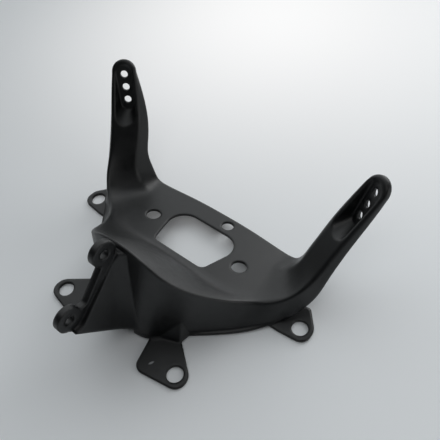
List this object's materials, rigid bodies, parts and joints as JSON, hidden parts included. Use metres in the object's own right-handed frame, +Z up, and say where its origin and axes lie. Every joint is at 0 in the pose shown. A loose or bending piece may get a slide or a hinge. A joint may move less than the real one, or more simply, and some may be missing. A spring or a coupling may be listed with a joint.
{
  "type": "fairing stay",
  "caption": "Cast motorbike fairing stay: a dished deck with an instrument opening, arms for the mirrors, a beak for the steering head and tabs for the headlamp.",
  "frame": {"origin": "middle of the box's underside, on the bench that the headlamp tabs lie on", "axes": "+X across the bike towards the arm on the right, +Y from the beak to the deck's far edge, +Z up"},
  "size_m": [0.3704, 0.285, 0.1485],
  "materials": {
    "coating": "satin black coat on cast aluminium"
  },
  "bodies": {
    "root": {"fairing_stay": "coating"}
  },
  "joints": []
}
